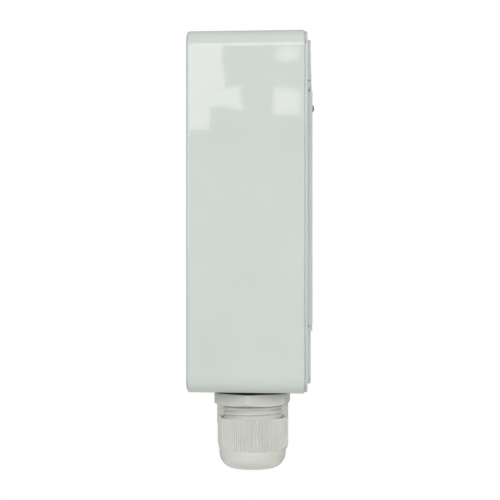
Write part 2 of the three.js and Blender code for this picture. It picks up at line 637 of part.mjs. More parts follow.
function fuseBase(x) {
  const width = about(x, FUSE_BASE_WIDTH);
  const body = block(width, [blockBack, blockFront], about(fuseZ, fuseBaseLength));
  const lowerPad = block(width, [blockBack, bladeBack - FIT], about(lowerBoltZ, BUSBAR_WIDTH));
  const fuseBodyBack = bladeBack + FUSE_BLADE_THICKNESS / 2 - FUSE_BODY_THICKNESS / 2;
  const pocketDepth = [fuseBodyBack - FUSE_POCKET_GAP, BOX_DEPTH];
  const pocketLength = about(fuseZ, fuseBodyLength + 2 * FUSE_POCKET_GAP);
  const pocket = block([-BOX_WIDTH, BOX_WIDTH], pocketDepth, pocketLength);
  return cut(join(body, lowerPad), pocket, boltHole(x, upperBoltZ), boltHole(x, lowerBoltZ));
}

function outputPost() {
  const length = about(lowerBoltZ, FUSE_BASE_WIDTH);
  return cut(block(about(0, FUSE_BASE_WIDTH), [blockBack, blockFront], length), boltHole(0, lowerBoltZ));
}

const negativeHoles = () => [-FUSE_PITCH, 0, FUSE_PITCH].map((x) => boltHole(x, negativeZ));

function negativeBlock() {
  const depths = [blockBack, blockBack + NEGATIVE_BLOCK_HEIGHT];
  const body = block(about(0, NEGATIVE_BLOCK_WIDTH), depths, about(negativeZ, NEGATIVE_BLOCK_LENGTH));
  return cut(body, ...negativeHoles());
}

const busbarWidth = about(0, 2 * (FUSE_PITCH + BUSBAR_OVERHANG));

// A crossbar over both fuses, with a leg down to the output bolt.
function positiveBusbar() {
  const depths = [positiveBarBack, positiveBarBack + BUSBAR_THICKNESS];
  const crossbar = block(busbarWidth, depths, about(upperBoltZ, BUSBAR_WIDTH));
  const leg = block(about(0, BUSBAR_WIDTH), depths, [lowerBoltZ - BUSBAR_OVERHANG, upperBoltZ]);
  const fuseHoles = Object.values(sides).map((side) => boltHole(side * FUSE_PITCH, upperBoltZ));
  return cut(join(crossbar, leg), ...fuseHoles, boltHole(0, lowerBoltZ));
}

function negativeBusbar() {
  const depths = [negativeBarBack, negativeBarBack + BUSBAR_THICKNESS];
  return cut(block(busbarWidth, depths, about(negativeZ, BUSBAR_WIDTH)), ...negativeHoles());
}

// A bolt-down strip fuse: two blades with a moulded body in the middle.
function stripFuse(x) {
  const bladeDepth = [bladeBack, bladeBack + FUSE_BLADE_THICKNESS];
  const blade = block(about(x, FUSE_BLADE_WIDTH), bladeDepth, about(fuseZ, fuseLength));
  const bodyDepth = about(bladeBack + FUSE_BLADE_THICKNESS / 2, FUSE_BODY_THICKNESS);
  const body = block(about(x, FUSE_BODY_WIDTH), bodyDepth, about(fuseZ, fuseBodyLength));
  return cut(join(blade, body), boltHole(x, upperBoltZ), boltHole(x, lowerBoltZ));
}

// A flanged hexagon bolt, with its seat at depth 0.
function terminalBolt(length) {
  const headTop = BOLT_FLANGE_THICKNESS + BOLT_HEAD_HEIGHT;
  return join(
    post(BOLT_FLANGE_RADIUS, [FIT, BOLT_FLANGE_THICKNESS], 0, 0, 16),
    post(BOLT_FLATS / Math.sqrt(3), [BOLT_FLANGE_THICKNESS, headTop], 0, 0, 6),
    post(BOLT_RADIUS, [-length, BOLT_FLANGE_THICKNESS]),
  );
}

// Each bolt ends this far above the mounting plate's face.
const boltLength = (seat) => seat - plateFront - BOLT_END_GAP;

function terminalBoltPlaces() {
  const onBlade = bladeBack + FUSE_BLADE_THICKNESS;
  const onPositive = positiveBarBack + BUSBAR_THICKNESS;
  const onNegative = negativeBarBack + BUSBAR_THICKNESS;
  return [
    [-FUSE_PITCH, onBlade, upperBoltZ],
    [FUSE_PITCH, onBlade, upperBoltZ],
    [-FUSE_PITCH, onBlade, lowerBoltZ],
    [FUSE_PITCH, onBlade, lowerBoltZ],
    [0, onPositive, lowerBoltZ],
    ...[-FUSE_PITCH, 0, FUSE_PITCH].map((x) => [x, onNegative, negativeZ]),
  ];
}

function touchGuard() {
  const [width, height] = [2 * (plateHalfWidth - GUARD_INSET), plateLength - 2 * GUARD_INSET];
  const middle = plateTop - plateLength / 2;
  const sheet = slab(width, height, 4, [guardBack, guardBack + GUARD_THICKNESS]).translate([0, 0, middle]);
  const hole = (x) => post(GUARD_STUD_RADIUS + HOLE_PLAY, [0, BOX_DEPTH], x, fuseZ);
  return cut(sheet, hole(-GUARD_POST_X), hole(GUARD_POST_X));
}

function guardPost(x) {
  const studTip = guardBack + GUARD_STUD_LENGTH;
  return join(
    post(GUARD_POST_RADIUS, [blockBack, guardBack - FIT], x, fuseZ, 6),
    post(GUARD_STUD_RADIUS, [guardBack - 1, studTip], x, fuseZ),
  );
}

function thumbNut(x) {
  const back = guardBack + GUARD_THICKNESS + FIT;
  const band = [back, back + THUMB_NUT_HEIGHT];
  const hole = post(GUARD_STUD_RADIUS + FIT, [0, BOX_DEPTH], x, fuseZ);
  return cut(post(THUMB_NUT_RADIUS, band, x, fuseZ, 16), hole);
}

// ---------------------------------------------------------------- Assembly

const combinerBox = new THREE.Group();

function add(name, solid, material, parent = combinerBox) {
  const mesh = new THREE.Mesh(toGeometry(solid), material());
  mesh.name = name;
  parent.add(mesh);
  return mesh;
}

function addAt(name, solid, material, [x, depth, z]) {
  add(name, solid, material).position.set(x, -depth, z);
}

function addEnclosure() {
  add("base_shell", baseShell(), greyAbs);
  add("cover_gasket", coverGasket(), greySilicone);
  add("cover", cover(), greyAbs);
  add("flap_door", flap(), greyAbs);
  const head = [COVER_SCREW_HEAD_RADIUS, COVER_SCREW_HEAD_HEIGHT];
  const plugDepth = [panelFront - PLUG_THICKNESS, panelFront - FIT / 3];
  corners.forEach(([sx, sz], index) => {
    const screw = panScrew(COVER_SCREW_RADIUS, COVER_SCREW_LENGTH, ...head);
    addAt(`cover_screw_${index + 1}`, screw, zincSteel, [sx * screwX, screwSeat, sz * screwZ]);
    const plug = post(wellRadius - FIT, plugDepth, 0, 0, WELL_SIDES);
    addAt(`screw_plug_${index + 1}`, plug, greyAbs, [sx * screwX, 0, sz * screwZ]);
  });
  for (const [name, side] of Object.entries(sides)) {
    const pinSpan = span(side, pinReach - HINGE_PIN_LENGTH, pinReach);
    const pin = rod(HINGE_PIN_RADIUS, pinSpan, hingeDepth, hingeZ);
    add(`hinge_pin_${name}`, pin, zincSteel);
    addAt(`flap_screw_${name}`, slottedScrew(), darkSteel, [side * FLAP_SCREW_X, flapFront, flapScrewZ]);
  }
}

// bodyTurn and capTurn are where a corner of each hexagon points, in degrees from the X axis.
function addGland(name, x, { bodyTurn, capTurn, loosened }) {
  const gland = new THREE.Group();
  gland.position.set(x, -GLAND_DEPTH, 0);
  combinerBox.add(gland);
  const body = add(`gland_body_${name}`, glandBody(), greyPolyamide, gland);
  body.position.z = glandSeatZ;
  body.rotation.z = THREE.MathUtils.degToRad(bodyTurn);
  add(`gland_washer_${name}`, glandWasher(), blackRubber, gland).position.z = washerTop - WASHER_THICKNESS;
  const locknut = add(`gland_locknut_${name}`, glandLocknut(), greyPolyamide, gland);
  locknut.position.z = locknutBottom;
  locknut.rotation.z = Math.PI / 6;
  const capTop = glandSeatZ - capReach - loosened;
  add(`gland_seal_${name}`, glandSeal(), blackRubber, gland).position.z = glandSeatZ + 1 - loosened;
  const cap = add(`gland_cap_${name}`, capNut(), greyPolyamide, gland);
  cap.position.z = capTop;
  cap.rotation.z = THREE.MathUtils.degToRad(capTurn);
}

function addInside() {
  add("mounting_plate", mountingPlate(), backingBoard);
  const head = [PLATE_SCREW_HEAD_RADIUS, PLATE_SCREW_HEAD_HEIGHT];
  plateScrewPlaces().forEach(([x, z], index) => {
    const screw = panScrew(PLATE_SCREW_RADIUS, PLATE_SCREW_LENGTH, ...head);
    addAt(`plate_screw_${index + 1}`, screw, zincSteel, [x, plateFront + FIT, z]);
  });
  for (const [name, side] of Object.entries(sides)) {
    add(`fuse_base_${name}`, fuseBase(side * FUSE_PITCH), blackPhenolic);
    add(`strip_fuse_${name}`, stripFuse(side * FUSE_PITCH), fusePlastic);
    add(`guard_post_${name}`, guardPost(side * GUARD_POST_X), brass);
    add(`thumb_nut_${name}`, thumbNut(side * GUARD_POST_X), blackPhenolic);
  }
  add("output_post", outputPost(), redPhenolic);
  add("negative_block", negativeBlock(), blackPhenolic);
  add("positive_busbar", positiveBusbar(), copper);
  add("negative_busbar", negativeBusbar(), tinnedCopper);
  terminalBoltPlaces().forEach((place, index) => {
    addAt(`terminal_bolt_${index + 1}`, terminalBolt(boltLength(place[1])), zincSteel, place);
  });
  add("touch_guard", touchGuard(), clearPolycarbonate);
}

addEnclosure();
addGland("left", -glandPitch, { bodyTurn: 51.4, capTurn: 6.9, loosened: CAP_TRAVEL });
addGland("centre", 0, { bodyTurn: 38, capTurn: 18.3, loosened: 0 });
addGland("right", glandPitch, { bodyTurn: 52, capTurn: 33, loosened: 0 });
addInside();

export default combinerBox;
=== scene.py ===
# %% [markdown]
# # A DC combiner box, finished
#
# The object is a small grey plastic wall box that joins two fused battery or solar inputs into one output. It
# has a base, a screwed-on cover with a hinged flap, and three cable glands underneath.
#
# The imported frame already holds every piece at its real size. This lesson gives those pieces their fine shape
# and their surface. Everything is in metres, with the wall at Y = 0, the front towards -Y and Z up.

import json
import math

import bmesh
import bpy
from mathutils import Matrix, Vector

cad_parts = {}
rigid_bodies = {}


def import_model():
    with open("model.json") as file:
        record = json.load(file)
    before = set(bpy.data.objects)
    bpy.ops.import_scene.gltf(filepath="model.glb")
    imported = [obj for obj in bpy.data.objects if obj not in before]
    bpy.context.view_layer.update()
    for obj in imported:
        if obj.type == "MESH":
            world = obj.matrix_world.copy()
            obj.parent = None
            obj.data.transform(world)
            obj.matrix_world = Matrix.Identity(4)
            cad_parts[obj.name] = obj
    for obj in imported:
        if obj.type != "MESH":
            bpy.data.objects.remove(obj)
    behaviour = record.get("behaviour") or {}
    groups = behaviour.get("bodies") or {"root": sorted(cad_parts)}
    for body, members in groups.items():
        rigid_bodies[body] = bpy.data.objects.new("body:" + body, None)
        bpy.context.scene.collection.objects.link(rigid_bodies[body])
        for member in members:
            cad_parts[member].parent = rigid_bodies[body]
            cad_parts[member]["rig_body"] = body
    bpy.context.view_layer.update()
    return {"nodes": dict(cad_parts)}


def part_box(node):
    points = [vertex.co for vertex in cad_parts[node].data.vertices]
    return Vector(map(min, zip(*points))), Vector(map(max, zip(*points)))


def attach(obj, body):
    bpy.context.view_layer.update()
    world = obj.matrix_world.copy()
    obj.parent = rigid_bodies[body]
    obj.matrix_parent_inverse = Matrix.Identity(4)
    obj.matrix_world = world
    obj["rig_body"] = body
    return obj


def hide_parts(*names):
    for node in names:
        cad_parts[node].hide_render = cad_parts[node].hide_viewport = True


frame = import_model()
nodes = frame["nodes"]
print(len(nodes), "nodes in the frame")

# %% [markdown]
# ## Camera
#
# The view is level and exactly from the side, with the wall on the left. A long lens from 0.8 metres keeps
# the side nearly square, and still shows a little of the cap nut's top.

# %% Camera
CAMERA_PLACE = Vector((-0.803, -0.0305, -0.0184))
LENS_MM = 110.5
SENSOR_MM = 36.0

lens = bpy.data.cameras.new("camera")
lens.lens = LENS_MM
lens.sensor_width = SENSOR_MM
camera = bpy.data.objects.new("camera", lens)
camera.location = CAMERA_PLACE
camera.rotation_euler = (math.radians(90), 0, math.radians(-90))
bpy.context.scene.collection.objects.link(camera)
bpy.context.scene.camera = camera
print("camera looks along", camera.rotation_euler.to_matrix() @ Vector((0, 0, -1)))

# %% [markdown]
# ## Studio
#
# Glossy mouldings show their gloss only if they have something to mirror. The room is a pale world,
# brightest at eye level and darker overhead and underfoot, so rounded edges shade off. Panels of softbox
# hang behind the camera, where the side of the box mirrors their lower edges, and one stands on either side
# for the edges. The softbox on the far side only fills the shadows. It isn't mirrored, since it would
# whiten the outline.

# %% World
EYE_LEVEL_LIGHT, OVERHEAD_LIGHT, UNDERFOOT_LIGHT = 0.34, 0.32, 0.05

scene = bpy.context.scene
scene.view_settings.view_transform = "Standard"
world = bpy.data.worlds.new("studio")
scene.world = world
world.use_nodes = True
sky = world.node_tree
direction = sky.nodes.new("ShaderNodeTexCoord")
parts = sky.nodes.new("ShaderNodeSeparateXYZ")
shade = sky.nodes.new("ShaderNodeValToRGB")
height = sky.nodes.new("ShaderNodeMapRange")
height.inputs["From Min"].default_value = -1.0
stops = shade.color_ramp.elements
stops[0].color = (UNDERFOOT_LIGHT,) * 3 + (1,)
stops[1].color = (OVERHEAD_LIGHT,) * 3 + (1,)
stops.new(0.5).color = (EYE_LEVEL_LIGHT,) * 3 + (1,)
seen = sky.nodes.new("ShaderNodeLightPath")
chosen = sky.nodes.new("ShaderNodeMix")
chosen.data_type = "RGBA"
chosen.inputs[7].default_value = (1, 1, 1, 1)
sky.links.new(direction.outputs["Generated"], parts.inputs["Vector"])
sky.links.new(parts.outputs["Z"], height.inputs["Value"])
sky.links.new(height.outputs["Result"], shade.inputs["Fac"])
sky.links.new(seen.outputs["Is Camera Ray"], chosen.inputs["Factor"])
sky.links.new(shade.outputs["Color"], chosen.inputs[6])
sky.links.new(chosen.outputs[2], sky.nodes["Background"].inputs["Color"])

# %% Softboxes
PANEL_GLOW, SIDE_GLOW, FAR_GLOW = 3.2, 2.45, 2.6  # how bright each looks, where white is 1
SIDE_SOFTBOX_SIZE, FAR_SOFTBOX_SIZE = (1.2, 1.0), (1.6, 1.2)


def softbox(name, place, target, size, glow, mirrored=True):
    """A rectangular area light that faces a target point. Its glow doesn't depend on its size."""
    light = bpy.data.lights.new(name, "AREA")
    light.shape = "RECTANGLE"
    light.size, light.size_y = size
    light.energy = glow * math.pi * size[0] * size[1]
    lamp = bpy.data.objects.new(name, light)
    lamp.location = place
    lamp.rotation_euler = (Vector(target) - Vector(place)).to_track_quat("-Z", "Y").to_euler()
    lamp.visible_glossy = mirrored
    scene.collection.objects.link(lamp)


# Each panel behind the camera, as how far it reaches along Y and Z.
BACK_PANELS = {
    "main_panel": ((0.040, 0.50), (0.215, 0.80)),
    "middle_panel": ((0.010, 0.50), (0.187, 0.214)),
    "low_panel": ((0.062, 0.50), (0.157, 0.186)),
    "long_panel": ((-0.66, 0.038), (0.285, 0.80)),
    "upper_strip": ((-0.066, -0.043), (0.257, 0.272)),
    "lower_strip": ((-0.067, -0.030), (0.177, 0.211)),
}
BACK_PANEL_X = -1.53

for name, (along, upright) in BACK_PANELS.items():
    middle = (sum(along) / 2, sum(upright) / 2)
    panel_size = (along[1] - along[0], upright[1] - upright[0])
    softbox(name, (BACK_PANEL_X, *middle), (0, *middle), panel_size, PANEL_GLOW)
softbox("front_softbox", (-0.95, -1.1, 0.45), (0, 0, 0), SIDE_SOFTBOX_SIZE, SIDE_GLOW)
softbox("rear_softbox", (-0.95, 1.05, 0.45), (0, 0, 0), SIDE_SOFTBOX_SIZE, SIDE_GLOW)
softbox("far_softbox", (1.25, -0.25, 0.4), (0, 0, 0), FAR_SOFTBOX_SIZE, FAR_GLOW, mirrored=False)
print(len(bpy.data.lights), "softboxes")

# %% [markdown]
# ## How a finish is made
#
# A real moulded or rolled surface is never one flat colour. Each finish here has a slow drift of colour, a
# finer change of roughness, and a small bump, all from noise at a size given in millimetres. One function
# adds a node with its settings and links, and one turns the usual hex colours into the linear ones that
# light uses.


# %% Material helpers
def linear(code):
    """An sRGB hex colour as linear red, green, blue and alpha."""
    channels = [int(code[i : i + 2], 16) / 255 for i in (0, 2, 4)]
    return [c / 12.92 if c <= 0.04045 else ((c + 0.055) / 1.055) ** 2.4 for c in channels] + [1.0]


def node(tree, kind, inputs=None, **settings):
    """Adds a shader node. inputs maps each socket to a value, or to the output that feeds it."""
    made = tree.nodes.new(kind)
    for name, value in settings.items():
        setattr(made, name, value)
    for socket, value in (inputs or {}).items():
        if isinstance(value, bpy.types.NodeSocket):
            tree.links.new(value, made.inputs[socket])
        else:
            made.inputs[socket].default_value = value
    return made


def noise_of(tree, size_mm, detail=3.0, stretch=(1, 1, 1)):
    """Noise in the object's own space, whose blotches are about size_mm across."""
    place = node(tree, "ShaderNodeTexCoord").outputs["Object"]
    scaled = node(tree, "ShaderNodeMapping", {"Vector": place, "Scale": stretch})
    settings = {"Vector": scaled.outputs["Vector"], "Scale": 1000 / size_mm, "Detail": detail}
    return node(tree, "ShaderNodeTexNoise", settings).outputs["Fac"]


def between(tree, factor, low, high):
    """Turns a factor of about 0.3 to 0.7 into a number from low to high."""
    settings = {"Value": factor, "From Min": 0.3, "From Max": 0.7, "To Min": low, "To Max": high}
    return node(tree, "ShaderNodeMapRange", settings).outputs["Result"]


def finish(name, pale, dark, roughness, drift_mm, grain_mm, bump_mm, stretch=(1, 1, 1), **shader):
    """A finish whose colour drifts between two hexes. Returns the material, its tree, shader and bump."""
    material = bpy.data.materials.new(name)
    material.use_nodes = True
    tree = material.node_tree
    surface = tree.nodes["Principled BSDF"]
    drift = noise_of(tree, drift_mm, 2.0, stretch)
    grain = noise_of(tree, grain_mm, 4.0, stretch)
    colours = {"Factor": between(tree, drift, 0.0, 1.0), 6: linear(pale), 7: linear(dark)}
    tint = node(tree, "ShaderNodeMix", colours, data_type="RGBA")
    tree.links.new(tint.outputs[2], surface.inputs["Base Color"])
    tree.links.new(between(tree, grain, *roughness), surface.inputs["Roughness"])
    relief = node(tree, "ShaderNodeBump", {"Height": grain, "Distance": bump_mm / 1000})
    tree.links.new(relief.outputs["Normal"], surface.inputs["Normal"])
    for socket, value in shader.items():
        surface.inputs[socket.replace("_", " ")].default_value = value
    print("finish", name)
    return material, tree, surface, relief


# %% [markdown]
# ### Floor
#
# The floor is a disc of matt background paper. Paper has a faint fleck and no gloss, so it only lifts the
# shadows a little.

# %% Floor
FLOOR_DEPTH, FLOOR_RADIUS = 0.45, 0.62  # metres

paper, *_ = finish("background_paper", "f0f0ee", "ededea", (0.8, 0.95), 60.0, 1.2, 0.02, IOR=1.45)
disc = bmesh.new()
bmesh.ops.create_circle(disc, cap_ends=True, radius=FLOOR_RADIUS, segments=96)
bmesh.ops.translate(disc, verts=disc.verts, vec=(0, 0, -FLOOR_DEPTH))
floor_mesh = bpy.data.meshes.new("studio_floor")
disc.to_mesh(floor_mesh)
floor_mesh.materials.append(paper)
studio_floor = bpy.data.objects.new("studio_floor", floor_mesh)
scene.collection.objects.link(studio_floor)

# %% [markdown]
# ### Glossy moulded ABS
#
# The box is ABS, moulded in a polished tool. It is a pale grey with a hint of green, shiny enough to mirror
# a softbox, but the walls shrink a little as they cool, so the mirror image is wavy. A slow bump some 30 mm
# long and about a tenth of a millimetre high does that, under the fine grain of the tool.

# %% ABS
WAVE_MM = 30.0
WAVE_HEIGHT_MM = 0.10

glossy_abs, tree, _, relief = finish(
    "glossy_moulded_abs", "d0d6d2", "ccd2cd", (0.025, 0.045), 45.0, 0.6, 0.0004, IOR=1.52
)
waves = noise_of(tree, WAVE_MM, 1.0)
bend = node(tree, "ShaderNodeBump", {"Height": waves, "Distance": WAVE_HEIGHT_MM / 1000})
tree.links.new(bend.outputs["Normal"], relief.inputs["Normal"])

# %% [markdown]
# ### Nylon, rubber and silicone
#
# Cable glands are moulded in polyamide, which is a little warmer and duller than ABS.
# Their washers and sleeves are nitrile rubber, and the cover's gasket is a grey silicone cord.

# %% Nylon, rubber and silicone
nylon, *_ = finish("moulded_polyamide", "d8dad2", "d3d5cd", (0.14, 0.22), 9.0, 0.5, 0.001, IOR=1.53)
nitrile, *_ = finish("nitrile_rubber", "232422", "1b1c1b", (0.6, 0.8), 4.0, 0.3, 0.02, IOR=1.52)
silicone, *_ = finish("silicone_cord", "cdd1cc", "c6cac5", (0.5, 0.7), 6.0, 0.4, 0.01, IOR=1.41)

# %% [markdown]
# ### Metals
#
# Zinc-plated steel has a cool, cloudy shine. Rolled copper and tin-plated copper show fine lines along the
# rolling direction, so their noise is stretched along the bar. Turned brass and the blackened flap screws are
# finer still. A metal keeps the default IOR, because its colour already says how it reflects.

# %% Metals
zinc, *_ = finish("zinc_plated_steel", "c6c9ca", "a9adaf", (0.22, 0.38), 2.5, 0.4, 0.004, Metallic=1.0)
dark_steel, *_ = finish("darkened_steel", "8c8a82", "6f6d66", (0.25, 0.4), 1.5, 0.3, 0.004, Metallic=1.0)
brass, *_ = finish("turned_brass", "cfae62", "b8954d", (0.2, 0.35), 2.0, 0.2, 0.003, Metallic=1.0)
copper, *_ = finish(
    "rolled_copper", "c98560", "a9643f", (0.2, 0.4), 9.0, 0.5, 0.004, (0.08, 1, 1), Metallic=1.0
)
tinned, *_ = finish(
    "tinned_copper", "cfcdc6", "b5b3ac", (0.22, 0.4), 9.0, 0.5, 0.004, (0.08, 1, 1), Metallic=1.0
)

# %% [markdown]
# ### Boards and mouldings inside
#
# The busbar blocks are glass-filled phenolic or polyester, dull and slightly speckled. The mounting plate
# is a pressed laminate. The touch guard is clear polycarbonate sheet, and each fuse has an amber moulded
# body.

# %% Boards and mouldings
black_block, *_ = finish("black_phenolic", "2b2c2c", "1f2020", (0.4, 0.6), 3.0, 0.5, 0.01, IOR=1.6)
red_block, *_ = finish("red_phenolic", "a8322a", "8e261f", (0.38, 0.55), 3.0, 0.5, 0.01, IOR=1.6)
laminate, *_ = finish("pressed_laminate", "bdbdb3", "acaca2", (0.45, 0.6), 6.0, 0.8, 0.01, IOR=1.55)
fuse_body, *_ = finish("amber_fuse_moulding", "d9a92f", "c99720", (0.28, 0.4), 5.0, 0.4, 0.004, IOR=1.58)
clear_sheet, _, surface, _ = finish(
    "clear_polycarbonate", "f6fafb", "eff5f6", (0.04, 0.1), 40.0, 1.0, 0.001, IOR=1.58
)
surface.inputs["Transmission Weight"].default_value = 1.0

# %% [markdown]
# ## How a piece is made
#
# Every new piece starts in a bmesh, is finished by operators, and is written once with its place in its mesh.
# It then rides on one body of the frame and stands for the plain node under it. Sharp edges are marked by
# angle, so flat faces stay flat and round ones stay round.


# %% Piece helpers
MERGE_WITHIN = 1e-7  # metres, for points that a spin or a boolean leaves on top of each other


def write_piece(name, shape, material, stands_for, smooth_degrees=32):
    """Writes a bmesh as an object that rides where the node it stands for does."""
    mesh = bpy.data.meshes.new(name)
    shape.to_mesh(mesh)
    shape.free()
    mesh.shade_smooth()
    mesh.set_sharp_from_angle(angle=math.radians(smooth_degrees))
    mesh.materials.append(material)
    piece = bpy.data.objects.new(name, mesh)
    scene.collection.objects.link(piece)
    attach(piece, nodes[stands_for]["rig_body"])
    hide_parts(stands_for)
    flatter = piece.modifiers.new("flat_faces_stay_flat", "WEIGHTED_NORMAL")
    flatter.keep_sharp = True
    print(name, len(mesh.polygons), "faces")
    return piece


def turned(profile, steps=72):
    """Spins (radius, height) points in millimetres round the Z axis. Off the axis, the profile is closed."""
    shape = bmesh.new()
    points = [shape.verts.new((radius / 1000, 0, height / 1000)) for radius, height in profile]
    if profile[0][0] > 0 and profile[-1][0] > 0:
        points.append(points[0])
    edges = [shape.edges.new(pair) for pair in zip(points, points[1:])]
    bmesh.ops.spin(
        shape, geom=edges, cent=(0, 0, 0), axis=(0, 0, 1), angle=math.tau, steps=steps, use_merge=True
    )
    bmesh.ops.remove_doubles(shape, verts=shape.verts, dist=MERGE_WITHIN)
    bmesh.ops.recalc_face_normals(shape, faces=shape.faces)
    return shape


def moved(shape, place, turn=Matrix.Identity(4)):
    """Turns a shape about its origin, then moves the origin to a place in metres."""
    bmesh.ops.transform(shape, matrix=Matrix.Translation(place) @ turn, verts=shape.verts)
    return shape


def cut_with(target, *tools, operation="DIFFERENCE"):
    """Cuts a bmesh with others, or keeps what they share, and returns the result."""

    def temporary(shape):
        mesh = bpy.data.meshes.new("temporary")
        shape.to_mesh(mesh)
        shape.free()
        made = bpy.data.objects.new("temporary", mesh)
        scene.collection.objects.link(made)
        return made

    blank = temporary(target)
    cutters = [temporary(tool) for tool in tools]
    for cutter in cutters:
        step = blank.modifiers.new("cut", "BOOLEAN")
        step.operation, step.solver, step.object = operation, "EXACT", cutter
    result = bmesh.new()
    result.from_object(blank, bpy.context.evaluated_depsgraph_get())
    for used in [blank, *cutters]:
        bpy.data.objects.remove(used)
    bmesh.ops.remove_doubles(result, verts=result.verts, dist=MERGE_WITHIN)
    return result


def rounded(shape, width_mm, sharper_than=40, segments=2, only=lambda edge: True):
    """Bevels the edges that are sharper than an angle."""
    limit = math.radians(sharper_than)
    edges = [
        edge
        for edge in shape.edges
        if len(edge.link_faces) == 2 and edge.calc_face_angle(0) > limit and only(edge)
    ]
    bmesh.ops.bevel(
        shape,
        geom=edges,
        offset=width_mm / 1000,
        segments=segments,
        profile=0.5,
        affect="EDGES",
        clamp_overlap=True,
        material=-1,
    )
    return shape


def copy_of(node_name):
    """A merged copy of a frame node."""
    shape = bmesh.new()
    shape.from_mesh(nodes[node_name].data)
    bmesh.ops.remove_doubles(shape, verts=shape.verts, dist=2e-6)
    return shape


def centre_of(node_name):
    """The middle of a node's box, in metres."""
    low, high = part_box(node_name)
    return (low + high) / 2


# %% [markdown]
# ## Base, cover and flap
#
# These mouldings already have their ribs, bosses, wells and hinge. What a plain solid lacks is the small
# radius on every moulded edge, which is where the light catches. A bevel over the whole mesh would tangle
# where short edges meet. So each moulding is kept inside a skin instead: a simple smooth shape, a hair
# smaller, whose own edges are round.

# %% Skins
SKIN_MM = 0.02  # how far a skin stays inside the frame's flat faces
FACET_MM = 0.2  # how much larger its corner radii are, which keeps it inside the frame's facets
BEYOND_MM = 2.0  # how far a cutting tool runs past what it cuts
FRONTWARDS = Matrix.Rotation(math.radians(90), 4, "X")  # turns +Z to face the front
SIDEWAYS = Matrix.Rotation(math.radians(90), 4, "Y")  # turns +Z to lie along the width


def box_tool(x_mm, y_mm, z_mm):
    """A block between two values of each axis, in millimetres."""
    shape = bmesh.new()
    bmesh.ops.create_cube(shape, size=1)
    spans = [(low / 1000, high / 1000) for low, high in (x_mm, y_mm, z_mm)]
    bmesh.ops.scale(shape, vec=[high - low for low, high in spans], verts=shape.verts)
    bmesh.ops.translate(shape, vec=[(low + high) / 2 for low, high in spans], verts=shape.verts)
    return shape


def drum(radius_mm, low_mm, high_mm, steps=72):
    """A cylinder round the Z axis."""
    return turned([(0, low_mm), (radius_mm, low_mm), (radius_mm, high_mm), (0, high_mm)], steps)


def plate(width_mm, height_mm, radius_mm, from_wall_mm, across_mm=0.0, up_mm=0.0):
    """A plate with rounded corners, parallel to the wall, between two distances from it."""
    shape = bmesh.new()
    bmesh.ops.create_grid(shape, x_segments=1, y_segments=1, size=0.5)
    bmesh.ops.scale(shape, vec=(width_mm / 1000, height_mm / 1000, 1), verts=shape.verts)
    bmesh.ops.bevel(
        shape,
        geom=shape.verts[:],
        offset=radius_mm / 1000,
        segments=14,
        profile=0.5,
        affect="VERTICES",
        clamp_overlap=False,
        material=-1,
    )
    bmesh.ops.translate(shape, verts=shape.verts, vec=(0, 0, from_wall_mm[0] / 1000))
    grown = bmesh.ops.extrude_face_region(shape, geom=shape.faces[:])["geom"]
    front = [item for item in grown if isinstance(item, bmesh.types.BMVert)]
    bmesh.ops.translate(shape, verts=front, vec=(0, 0, (from_wall_mm[1] - from_wall_mm[0]) / 1000))
    bmesh.ops.recalc_face_normals(shape, faces=shape.faces)
    return moved(shape, (across_mm / 1000, 0, up_mm / 1000), FRONTWARDS)


def nearer_than(from_wall_mm):
    """Picks the edges that lie wholly in front of a distance from the wall."""
    return lambda edge: all(point.co.y < -from_wall_mm / 1000 for point in edge.verts)


def kept_inside(node_name, skin):
    """A frame node's shape, cut back to what a skin holds."""
    return cut_with(copy_of(node_name), skin, operation="INTERSECT")


# %% Base
RIM_ROUND_MM, BACK_ROUND_MM, DRAFT_DEGREES, BASE_CORNER_MM = 0.6, 1.8, 0.65, 8.0

low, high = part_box("base_shell")
base_wide, base_deep, base_tall = (high - low) * 1000
base_skin = plate(
    base_wide - 2 * SKIN_MM,
    base_tall - 2 * SKIN_MM,
    BASE_CORNER_MM + FACET_MM,
    (SKIN_MM, base_deep - SKIN_MM),
)
drawn_in = 2 * base_deep * math.tan(math.radians(DRAFT_DEGREES))
back = [point for point in base_skin.verts if point.co.y > -0.001]
bmesh.ops.scale(
    base_skin, verts=back, vec=((base_wide - drawn_in) / base_wide, 1, (base_tall - drawn_in) / base_tall)
)
rounded(base_skin, BACK_ROUND_MM, segments=8, only=lambda edge: not nearer_than(1)(edge))
rounded(base_skin, RIM_ROUND_MM, segments=4, only=nearer_than(base_deep - 1))
write_piece("moulded_base_shell", kept_inside("base_shell", base_skin), glossy_abs, "base_shell")

# %% Cover
FLANGE_MM = (143.5, 173.5, 7.25, 58.05)  # width, height, corner radius and front of the flange
PANEL_MM = (135.6, 165.6, 5.0, 59.65)  # and of the raised panel
RAMP_MM = (57.97, 73.9, 0.45)  # bottom, top and rise of the finger ramp
EAR_MM, BARREL_MM = 1.25, 1.3  # radii of the cover's hinge ears and of the flap's barrel
COVER_EDGE_MM = 0.3
PANEL_BACK_MM = 40  # where the skins of the cover and the flap start, well behind the cover's front

